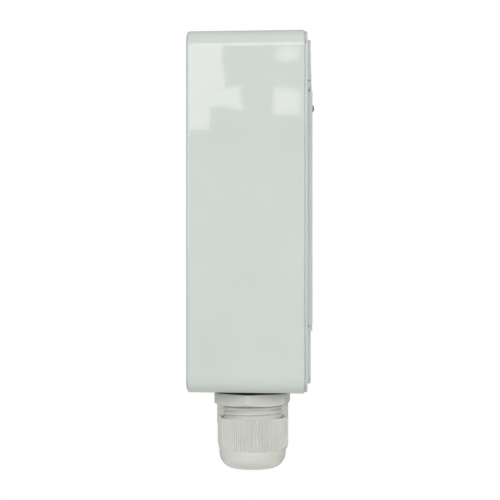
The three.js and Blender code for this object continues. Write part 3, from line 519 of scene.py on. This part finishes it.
skins = []
for width, height, radius, front in (FLANGE_MM, PANEL_MM):
    depths = (PANEL_BACK_MM, front - SKIN_MM)
    layer = plate(width - 2 * SKIN_MM, height - 2 * SKIN_MM, radius + FACET_MM, depths)
    skins.append(rounded(layer, COVER_EDGE_MM, segments=4, only=nearer_than(front - 1)))
half_panel, panel_front = PANEL_MM[0] / 2 - 2 * SKIN_MM, PANEL_MM[3] - SKIN_MM
ramp = box_tool((-half_panel, half_panel), (-panel_front - RAMP_MM[2], -PANEL_BACK_MM), RAMP_MM[:2])
for point in ramp.verts:
    if point.co.y < -0.05 and point.co.z > 0.07:
        point.co.y = -panel_front / 1000
skins.append(rounded(ramp, COVER_EDGE_MM, segments=4, only=nearer_than(50)))
flap_low, flap_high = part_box("flap_door")
hinge_line = Vector((0, flap_low.y + BARREL_MM / 1000, flap_low.z + BARREL_MM / 1000))
ears = moved(drum(EAR_MM, -half_panel, half_panel, 48), hinge_line, SIDEWAYS)
cover_skin = cut_with(*skins, ears, operation="UNION")
well_mouths = []
for number in range(1, 5):
    mouth = turned([(0, -1), (3.9, -0.25), (4.2, 0.05), (4.2, 1), (0, 1)])  # a small chamfer
    place = centre_of(f"screw_plug_{number}")
    well_mouths.append(moved(mouth, (place.x, -panel_front / 1000, place.z), FRONTWARDS))
moulded_cover = cut_with(kept_inside("cover", cover_skin), *well_mouths)
write_piece("moulded_cover", moulded_cover, glossy_abs, "cover")

# %% Flap
FLAP_EDGE_MM = 0.35

across = (flap_low.x * 1000 + SKIN_MM, flap_high.x * 1000 - SKIN_MM)
upright = (flap_low.z * 1000 + SKIN_MM, flap_high.z * 1000 - SKIN_MM)
flap_skin = box_tool(across, (flap_low.y * 1000 + SKIN_MM, -PANEL_BACK_MM), upright)


def at_the_hinge(edge):
    """Picks the front edge along the bottom of the flap, which becomes its barrel."""
    return nearer_than(50)(edge) and all(point.co.z < -0.05 for point in edge.verts)


rounded(flap_skin, BARREL_MM, segments=10, only=at_the_hinge)
rounded(flap_skin, FLAP_EDGE_MM, segments=4, only=nearer_than(50))
write_piece("moulded_flap", kept_inside("flap_door", flap_skin), glossy_abs, "flap_door")

# %% Gasket
LIP_MM = (143.8, 173.8, 7.4, (56.5, 56.86))
BEAD_MM = (142.4, 172.4, 6.8, (54.8, 56.7))
GASKET_INSIDE_MM = (140.3, 170.3, 5.6, (50, 60))

lip, bead, inside = (plate(*size) for size in (LIP_MM, BEAD_MM, GASKET_INSIDE_MM))
gasket = cut_with(cut_with(lip, rounded(bead, 0.3), operation="UNION"), inside)
write_piece("silicone_gasket", gasket, silicone, "cover_gasket")

# %% [markdown]
# ## Cable glands
#
# A gland is a threaded body with a hexagon, a washer under it, a locknut inside the box, a rubber sleeve
# and a domed cap nut that squeezes the sleeve on the cable. The hexagons are turned on a lathe before they
# are used, so their corners end in arcs. That is a boolean here too: a hexagonal bar, keeping only what a
# turned blank holds. Each part is made once, hanging from the origin, and copied to its three places.

# %% Bars, blanks and threads
BODY_FLATS_MM, BODY_CORNER_MM, BODY_HEX_MM = 35.0, 20.0, 6.0
NECK_MM, NECK_END_MM, CORE_MM, PITCH_MM = 14.5, -20.3, 13.45, 2.4
SPIGOT_MM, SPIGOT_END_MM = 14.1, 13.0
CAP_FLATS_MM, CAP_HEX_MM, CAP_DROP_MM, CAP_HEIGHT_MM = 33.0, 15.8, 3.2, 25.3
DOME_MM, DOME_ROUND_MM = 16.45, 8.0
MOUTH_MM, SLEEVE_MM, SEAT_MM, CAVITY_MM = 9.2, 12.0, 12.3, 14.8


def bar(flats_mm, low_mm, high_mm):
    """An upright hexagonal bar with a corner on the X axis."""
    shape = bmesh.new()
    reach = flats_mm / math.sqrt(3) / 1000
    depth = (high_mm - low_mm) / 1000
    bmesh.ops.create_cone(shape, cap_ends=True, segments=6, radius1=reach, radius2=reach, depth=depth)
    return moved(shape, (0, 0, (low_mm + high_mm) / 2000), Matrix.Rotation(math.radians(30), 4, "Z"))


def threaded_rod(crest_mm, core_mm, pitch_mm, low_mm, high_mm, steps=48):
    """A right-handed thread: one groove and ridge, screwed round the axis and closed at both ends."""
    outline = [(core_mm, 0.0), (core_mm, 0.14), (crest_mm, 0.38), (crest_mm, 0.76), (core_mm, 1.0)]
    start = low_mm - 1.5 * pitch_mm
    shape = bmesh.new()
    points = [shape.verts.new((r / 1000, 0, (start + part * pitch_mm) / 1000)) for r, part in outline]
    edges = [shape.edges.new(pair) for pair in zip(points, points[1:])]
    turns = math.ceil((high_mm - low_mm) / pitch_mm) + 3
    bmesh.ops.spin(
        shape,
        geom=edges,
        cent=(0, 0, 0),
        axis=(0, 0, 1),
        dvec=(0, 0, pitch_mm / steps / 1000),
        angle=math.tau * turns,
        steps=steps * turns,
    )
    bmesh.ops.remove_doubles(shape, verts=shape.verts, dist=2e-6)
    bmesh.ops.holes_fill(shape, edges=[edge for edge in shape.edges if edge.is_boundary], sides=0)
    bmesh.ops.triangulate(shape, faces=[face for face in shape.faces if len(face.verts) > 4])
    bmesh.ops.recalc_face_normals(shape, faces=shape.faces)
    return cut_with(shape, drum(crest_mm + 1, low_mm, high_mm), operation="INTERSECT")


# %% Gland body
LABEL_PANEL_MM = (11.4, 3.4)  # shallow blank panel on every second flat
PANEL_SINK_MM, PANEL_DROP_MM = 0.3, 2.7
PANEL_TURNS = (30, 150, 270)

hexagon = cut_with(
    bar(BODY_FLATS_MM, -BODY_HEX_MM, 0),
    turned([(0, -6.0), (17.0, -6.0), (BODY_CORNER_MM, -4.8), (BODY_CORNER_MM, -0.4), (19.4, 0), (0, 0)]),
    operation="INTERSECT",
)
rounded(hexagon, 0.25)
panels = []
half_wide, half_high = LABEL_PANEL_MM[0] / 2, LABEL_PANEL_MM[1] / 2
face_mm = BODY_FLATS_MM / 2
for turn in PANEL_TURNS:
    panel = box_tool((-half_wide, half_wide), (face_mm - PANEL_SINK_MM, face_mm + 1), (-half_high, half_high))
    around = Matrix.Rotation(math.radians(turn - 90), 4, "Z")
    panels.append(moved(panel, (0, 0, -PANEL_DROP_MM / 1000), around))
gland_body = cut_with(hexagon, *panels)
neck = threaded_rod(NECK_MM, CORE_MM, PITCH_MM, NECK_END_MM, -BODY_HEX_MM + 1)
spigot = threaded_rod(SPIGOT_MM, SPIGOT_MM - 0.8, 1.5, -1, SPIGOT_END_MM)
gland_body = cut_with(gland_body, neck, spigot, operation="UNION")
seal_room = drum(SEAT_MM, NECK_END_MM - BEYOND_MM, 2)
cable_room = drum(MOUTH_MM + 0.6, -BEYOND_MM, SPIGOT_END_MM + BEYOND_MM)
gland_body = cut_with(gland_body, seal_room, cable_room)
print("gland body", len(gland_body.faces), "faces")

# %% [markdown]
# ### Cap nut
#
# Each flat of the cap nut has sixteen upright ribs for grip. The outline is one circle whose points are
# moved in to the flats and the ribs, then extruded to the height of the hexagon. The turned blank rounds
# its corners off towards the dome.

# %% Cap nut
RIBS_PER_FLAT = 16
RIB_DEPTH_MM = 0.6
RIB_POINTS = 6
SMOOTH_CORNER_MM = 0.15  # plain strip beside each corner


def ribbed_bar(flats_mm, low_mm, high_mm):
    """A hexagonal bar with upright ribs on its flats and a corner on the X axis."""
    shape = bmesh.new()
    bmesh.ops.create_circle(shape, cap_ends=True, radius=1, segments=6 * RIBS_PER_FLAT * RIB_POINTS)
    half_side = flats_mm / 2 * math.tan(math.radians(30)) - SMOOTH_CORNER_MM
    for point in shape.verts:
        angle = math.atan2(point.co.y, point.co.x)
        from_flat = (math.degrees(angle) % 60) - 30
        along = flats_mm / 2 * math.tan(math.radians(from_flat))
        from_groove = abs((along / half_side + 1) * RIBS_PER_FLAT / 2 % 1 - 0.5) * 2
        groove = RIB_DEPTH_MM * max(0, 1 - from_groove * 1.25) if abs(along) < half_side else 0
        reach = (flats_mm / 2 - groove) / math.cos(math.radians(from_flat)) / 1000
        point.co = (reach * math.cos(angle), reach * math.sin(angle), high_mm / 1000)
    grown = bmesh.ops.extrude_face_region(shape, geom=shape.faces[:])["geom"]
    lower = [item for item in grown if isinstance(item, bmesh.types.BMVert)]
    bmesh.ops.translate(shape, verts=lower, vec=(0, 0, (low_mm - high_mm) / 1000))
    bmesh.ops.recalc_face_normals(shape, faces=shape.faces)
    return shape


corner_mm = CAP_FLATS_MM / math.sqrt(3)
blank = turned(
    [
        (0, -CAP_HEX_MM),
        (DOME_MM - 0.15, -CAP_HEX_MM),
        (DOME_MM + 0.6, -CAP_HEX_MM + 0.5),
        (corner_mm - 0.1, -CAP_HEX_MM + CAP_DROP_MM),
        (corner_mm - 0.1, -0.5),
        (corner_mm - 0.8, 0),
        (0, 0),
    ],
    144,
)
cap_nut = cut_with(ribbed_bar(CAP_FLATS_MM, -CAP_HEX_MM, 0), blank, operation="INTERSECT")
arc = [math.radians(step * 90 / 14) for step in range(15)]
dome_profile = [
    (
        DOME_MM - DOME_ROUND_MM * (1 - math.sin(angle)),
        -CAP_HEIGHT_MM + DOME_ROUND_MM * (1 - math.cos(angle)),
    )
    for angle in arc
]
dome_top_mm = 0.2 - CAP_HEX_MM  # a little way into the hexagon
dome = turned([(0, -CAP_HEIGHT_MM), *dome_profile, (DOME_MM, dome_top_mm), (0, dome_top_mm)], 96)
cavity = turned(
    [
        (0, -CAP_HEIGHT_MM - BEYOND_MM),
        (MOUTH_MM + 0.8, -CAP_HEIGHT_MM - BEYOND_MM),
        (MOUTH_MM + 0.5, -CAP_HEIGHT_MM + 0.1),
        (MOUTH_MM, -CAP_HEIGHT_MM + 0.8),
        (MOUTH_MM, -CAP_HEIGHT_MM + DOME_ROUND_MM / 2),
        (CAVITY_MM, -13.0),
        (CAVITY_MM, -0.9),
        (CAVITY_MM + 0.9, 0),
        (CAVITY_MM + 0.9, BEYOND_MM),
        (0, BEYOND_MM),
    ],
    96,
)
cap_nut = cut_with(cut_with(cap_nut, dome, operation="UNION"), cavity)
print("cap nut", len(cap_nut.faces), "faces")

# %% Washer, locknut and sleeve
LOCKNUT_FLATS_MM, LOCKNUT_HIGH_MM = 33.0, 4.6

washer = turned([(14.25, 0), (17.5, 0), (17.8, 0.3), (17.8, 0.8), (17.5, 1.1), (14.25, 1.1)])
locknut = cut_with(
    bar(LOCKNUT_FLATS_MM, 0, LOCKNUT_HIGH_MM),
    turned([(0, 0), (17.6, 0), (19.0, 0.8), (19.0, 3.8), (17.6, LOCKNUT_HIGH_MM), (0, LOCKNUT_HIGH_MM)]),
    operation="INTERSECT",
)
locknut = cut_with(rounded(locknut, 0.2), drum(SPIGOT_MM + 0.15, -1, 6))
sleeve_bore = [(MOUTH_MM, 0), (MOUTH_MM, -24.6), (MOUTH_MM + 0.6, -25.2)]
sleeve_nose = [(10.9, -25.2), (11.7, -24.2), (SLEEVE_MM, -22.5)]
sleeve = turned([*sleeve_bore, *sleeve_nose, (SLEEVE_MM, -0.6), (SLEEVE_MM - 0.6, 0)])
print("washer, locknut and sleeve", [len(part.faces) for part in (washer, locknut, sleeve)], "faces")

# %% Place the glands
# How far each hexagon is turned, in degrees.
BODY_TURNS = {"left": 51.4, "centre": 38.0, "right": 52.0}
CAP_TURNS = {"left": 6.9, "centre": 18.3, "right": 33.0}


def place_gland_part(part, name, shape, material, hangs_from, turn_degrees=0.0):
    """Copies a part to one gland. hangs_from is the height of its origin, in metres."""
    middle = centre_of(f"gland_{part}_{name}")
    turn = Matrix.Rotation(math.radians(turn_degrees), 4, "Z")
    copy = moved(shape.copy(), (middle.x, middle.y, hangs_from), turn)
    write_piece(f"{part}_of_{name}_gland", copy, material, f"gland_{part}_{name}")


for name in BODY_TURNS:
    top = {part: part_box(f"gland_{part}_{name}")[1].z for part in ("body", "cap", "seal")}
    low = {part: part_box(f"gland_{part}_{name}")[0].z for part in ("washer", "locknut")}
    place_gland_part("body", name, gland_body, nylon, top["body"] - SPIGOT_END_MM / 1000, BODY_TURNS[name])
    place_gland_part("cap", name, cap_nut, nylon, top["cap"], CAP_TURNS[name])
    place_gland_part("washer", name, washer, nitrile, low["washer"])
    place_gland_part("locknut", name, locknut, nylon, low["locknut"], 30)
    place_gland_part("seal", name, sleeve, nitrile, top["seal"])

# %% [markdown]
# ## Screws, plugs and pins
#
# The screws are turned and then cut: a head from a profile, a recess from a block or two, and a real thread
# under it. Each is made upright and turned to face the front. The flap's screws have a slotted dome and are
# the only dark points on the outside.

# %% Screws
THREAD_DEPTH = 0.14  # of the shank's radius


def screw(head_profile, shank_mm, length_mm, pitch_mm, *recesses):
    """A screw that points up, with its head's seat at the origin."""
    under = threaded_rod(shank_mm, shank_mm * (1 - THREAD_DEPTH), pitch_mm, -length_mm, 0.4, 24)
    head = cut_with(turned(head_profile, 48), *recesses)
    return cut_with(head, under, operation="UNION")


def place_screws(prefix, shape, material, names):
    """Copies a screw over each frame node, so that the top of its head is the node's front."""
    top = max(point.co.z for point in shape.verts)
    for name in names:
        place = centre_of(name)
        place.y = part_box(name)[0].y + top
        write_piece(f"{prefix}_{name}", moved(shape.copy(), place, FRONTWARDS), material, name)


def cross_recess(reach_mm, wide_mm, floor_mm):
    """The two blocks that cut a cross-shaped recess, open at the top."""
    arms = [(-reach_mm, reach_mm), (-wide_mm / 2, wide_mm / 2)]
    return [box_tool(*pair, (floor_mm, floor_mm + 5)) for pair in (arms, arms[::-1])]


pan_head = [(0, 0.05), (3.4, 0.05), (3.6, 0.3), (3.6, 1.4), (3.3, 2.0), (2.6, 2.4), (1.3, 2.6), (0, 2.6)]
cover_screw = screw(pan_head, 1.95, 18.0, 1.4, *cross_recess(2.0, 0.8, 1.3))
place_screws("threaded", cover_screw, zinc, [f"cover_screw_{number}" for number in range(1, 5)])
small_head = [(0, 0.05), (3.3, 0.05), (3.5, 0.3), (3.5, 1.3), (3.2, 1.9), (2.5, 2.2), (1.2, 2.4), (0, 2.4)]
plate_screw = screw(small_head, 1.8, 7.3, 1.3, *cross_recess(1.9, 0.8, 1.2))
place_screws("threaded", plate_screw, zinc, [f"plate_screw_{number}" for number in range(1, 5)])

DOME_EDGE_MM, DOME_RISE_MM = 2.6, 1.76  # of a flap screw's head
sphere_mm = (DOME_EDGE_MM**2 + DOME_RISE_MM**2) / (2 * DOME_RISE_MM)
widest = math.asin(DOME_EDGE_MM / sphere_mm)
dome_points = [
    (
        sphere_mm * math.sin(widest * step / 10),
        DOME_RISE_MM - sphere_mm * (1 - math.cos(widest * step / 10)),
    )
    for step in range(10, -1, -1)
]
slot = box_tool((-0.35, 0.35), (-4, 4), (1.1, 4))
flap_screw = screw([(0, 0.02), (DOME_EDGE_MM, 0.02), *dome_points[1:]], 1.5, 6.5, 0.8, slot)
place_screws("slotted", flap_screw, dark_steel, ["flap_screw_left", "flap_screw_right"])

# %% Plugs and hinge pins
plug_profile = [(0, 0), (3.6, 0), (3.73, 0.15), (3.73, 1.95), (3.6, 2.15), (2.9, 2.15), (2.6, 2.0), (0, 2.0)]
plug = turned(plug_profile, 64)
plug = cut_with(plug, box_tool((3.2, 5), (-0.6, 0.6), (1.7, 3)))
place_screws("dished", plug, glossy_abs, [f"screw_plug_{number}" for number in range(1, 5)])

pin = turned([(0, -4.75), (0.45, -4.75), (0.6, -4.6), (0.6, 4.6), (0.45, 4.75), (0, 4.75)], 24)
for side in ("left", "right"):
    node_name = f"hinge_pin_{side}"
    lying = moved(pin.copy(), centre_of(node_name), SIDEWAYS)
    write_piece(f"round_ended_{node_name}", lying, zinc, node_name)

# %% [markdown]
# ## Plate, blocks and bars
#
# Under the flap there is a laminate plate with moulded blocks, and bars sheared from flat stock. Their
# corners are rounded in the same way as the enclosure's, by a skin, which here is just the box round each
# node.

# %% Blocks and bars
def box_skin(node_name, edge_mm, segments=3):
    """The box round a node, a hair smaller, with all its edges rounded."""
    low, high = (corner * 1000 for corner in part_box(node_name))
    skin = box_tool(*[(start + SKIN_MM, end - SKIN_MM) for start, end in zip(low, high)])
    return rounded(skin, edge_mm, segments=segments)


ROUNDED_BOXES = {
    "mounting_plate": (laminate, 0.4),
    "fuse_base_left": (black_block, 0.8),
    "fuse_base_right": (black_block, 0.8),
    "output_post": (red_block, 0.8),
    "negative_block": (black_block, 0.8),
    "positive_busbar": (copper, 0.4),
    "negative_busbar": (tinned, 0.4),
}
for node_name, (material, edge_mm) in ROUNDED_BOXES.items():
    shape = kept_inside(node_name, box_skin(node_name, edge_mm))
    write_piece(f"rounded_{node_name}", shape, material, node_name)

GUARD_CORNER_MM = 4

guard_low, guard_high = (corner * 1000 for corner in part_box("touch_guard"))
guard_wide, _, guard_tall = guard_high - guard_low
middle_mm = centre_of("touch_guard") * 1000
guard_skin = plate(
    guard_wide - 2 * SKIN_MM,
    guard_tall - 2 * SKIN_MM,
    GUARD_CORNER_MM + FACET_MM,
    (-guard_high.y + SKIN_MM, -guard_low.y - SKIN_MM),
    up_mm=middle_mm.z,
)
sheet = kept_inside("touch_guard", rounded(guard_skin, 0.25, segments=2))
write_piece("clear_touch_guard", sheet, clear_sheet, "touch_guard")

# %% [markdown]
# ## Bolts, fuses and guard hardware
#
# Each terminal has a flanged hexagon bolt. The flange is a cone and the hexagon's top corners are turned
# off, so both come from one profile met with a bar. A strip fuse is a tin-plated blade with an amber
# moulding round its middle. The guard stands on brass hexagon posts, under knurled nuts.

# %% Terminal bolts
BOLT_FLATS_MM, BOLT_TOP_MM = 13.0, 7.1

head = cut_with(
    bar(BOLT_FLATS_MM, 1.0, BOLT_TOP_MM),
    turned([(0, 1.0), (8, 1.0), (8, 6.3), (6.4, BOLT_TOP_MM), (0, BOLT_TOP_MM)]),
    operation="INTERSECT",
)
flange = turned([(0, 0.15), (7.7, 0.15), (8.0, 0.4), (8.0, 0.8), (7.6, 1.1), (6.4, 1.9), (0, 1.9)])
dimple = turned([(0, 6.7), (4.2, 6.7), (4.6, 7.3), (0, 7.3)], 48)
bolt_head = cut_with(cut_with(flange, rounded(head, 0.15), operation="UNION"), dimple)
for number in range(1, 9):
    node_name = f"terminal_bolt_{number}"
    low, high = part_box(node_name)
    length_mm = (high.y - low.y) * 1000 - BOLT_TOP_MM
    shank = threaded_rod(4.0, 3.4, 1.25, -length_mm, 0.5, 32)
    bolt = cut_with(bolt_head.copy(), shank, operation="UNION")
    middle = centre_of(node_name)
    seat = Vector((middle.x, low.y + BOLT_TOP_MM / 1000, middle.z))
    write_piece(f"flanged_{node_name}", moved(bolt, seat, FRONTWARDS), zinc, node_name)

# %% Strip fuses
BLADE_MM = (27.35, 29.35)  # distances of the blade's faces from the wall
BLADE_WIDE_MM, HOLE_SPACING_MM, BOLT_HOLE_MM = 16.0, 52.0, 4.3
MOULDING_MM = (17.0, 34.0)
RAISED_MM = (13.0, 25.0, 2.0)  # width, height and corner radius of the step on the moulding
WINDOW_MM = (8.0, 17.0, 3.9)  # and of the oval recess in it
STUD_ACROSS_MM, STUD_UP_MM = 6.4, 14.6

for side in ("left", "right"):
    node_name = f"strip_fuse_{side}"
    low, high = (corner * 1000 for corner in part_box(node_name))
    middle = centre_of(node_name) * 1000
    blade = plate(BLADE_WIDE_MM, high.z - low.z - 2 * SKIN_MM, 2.5, BLADE_MM, middle.x, middle.z)
    holes = []
    for way in (-1, 1):
        hole = drum(BOLT_HOLE_MM, BLADE_MM[0] - BEYOND_MM, BLADE_MM[1] + BEYOND_MM, 48)
        place = (middle.x / 1000, 0, (middle.z + way * HOLE_SPACING_MM / 2) / 1000)
        holes.append(moved(hole, place, FRONTWARDS))
    blade = cut_with(rounded(blade, 0.2), *holes)
    half_wide, half_tall = MOULDING_MM[0] / 2, MOULDING_MM[1] / 2
    body = box_tool(
        (middle.x - half_wide, middle.x + half_wide),
        (low.y + SKIN_MM + 0.5, high.y - SKIN_MM),
        (middle.z - half_tall, middle.z + half_tall),
    )
    rounded(body, 1.2, segments=4)
    raised = plate(*RAISED_MM, (-low.y - 2, -low.y - SKIN_MM), middle.x, middle.z)
    window = plate(*WINDOW_MM, (-low.y - 0.6, -low.y + 2), middle.x, middle.z)
    studs = []
    for across in (-1, 1):
        for up in (-1, 1):
            stud = turned([(0, -1), (1.1, -1), (1.1, 0.15), (0.8, 0.4), (0, 0.45)], 32)
            place = (middle.x + across * STUD_ACROSS_MM, low.y + 0.5, middle.z + up * STUD_UP_MM)
            studs.append(moved(stud, Vector(place) / 1000, FRONTWARDS))
    body = cut_with(body, rounded(raised, 0.3), *studs, operation="UNION")
    write_piece(f"amber_body_of_{node_name}", cut_with(body, window), fuse_body, node_name)
    metal = write_piece(f"blade_of_{node_name}", blade, tinned, node_name)

# %% Guard posts and knurled nuts
POST_FLATS_MM, STUD_LENGTH_MM = 5.5, 5.0
KNURLS, KNURLED_MM, KNURL_DEPTH_MM, NUT_BORE_MM = 30, 5.48, 0.3, 2.12

for side in ("left", "right"):
    node_name = f"guard_post_{side}"
    low, high = (corner * 1000 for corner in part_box(node_name))
    middle = centre_of(node_name)
    column = bar(POST_FLATS_MM, -high.y, -low.y - STUD_LENGTH_MM - 0.15)
    stud = threaded_rod(2.0, 1.7, 0.7, -low.y - STUD_LENGTH_MM - 1, -low.y - SKIN_MM, 24)
    post = cut_with(rounded(column, 0.2), stud, operation="UNION")
    write_piece(f"brass_{node_name}", moved(post, (middle.x, 0, middle.z), FRONTWARDS), brass, node_name)

    node_name = f"thumb_nut_{side}"
    low, high = (corner * 1000 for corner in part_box(node_name))
    knurled = bmesh.new()
    bmesh.ops.create_circle(knurled, cap_ends=True, radius=1, segments=6 * KNURLS)
    for point in knurled.verts:
        angle = math.atan2(point.co.y, point.co.x)
        reach = (KNURLED_MM - KNURL_DEPTH_MM * abs(math.sin(angle * KNURLS / 2))) / 1000
        point.co = (reach * math.cos(angle), reach * math.sin(angle), -high.y / 1000)
    grown = bmesh.ops.extrude_face_region(knurled, geom=knurled.faces[:])["geom"]
    front = [item for item in grown if isinstance(item, bmesh.types.BMVert)]
    bmesh.ops.translate(knurled, verts=front, vec=(0, 0, (high.y - low.y) / 1000))
    bmesh.ops.recalc_face_normals(knurled, faces=knurled.faces)
    blank = [(0, 0), (5.1, 0), (5.6, 0.4), (5.6, 2.9), (5.1, 3.4), (3.4, 3.4), (3.0, 3.1), (0, 3.1)]
    nut = cut_with(knurled, moved(turned(blank), (0, 0, -high.y / 1000)), operation="INTERSECT")
    nut = cut_with(nut, drum(NUT_BORE_MM, -high.y - 1, -low.y + 1, 48))
    place = centre_of(node_name)
    nut = moved(nut, (place.x, 0, place.z), FRONTWARDS)
    write_piece(f"knurled_{node_name}", nut, black_block, node_name)
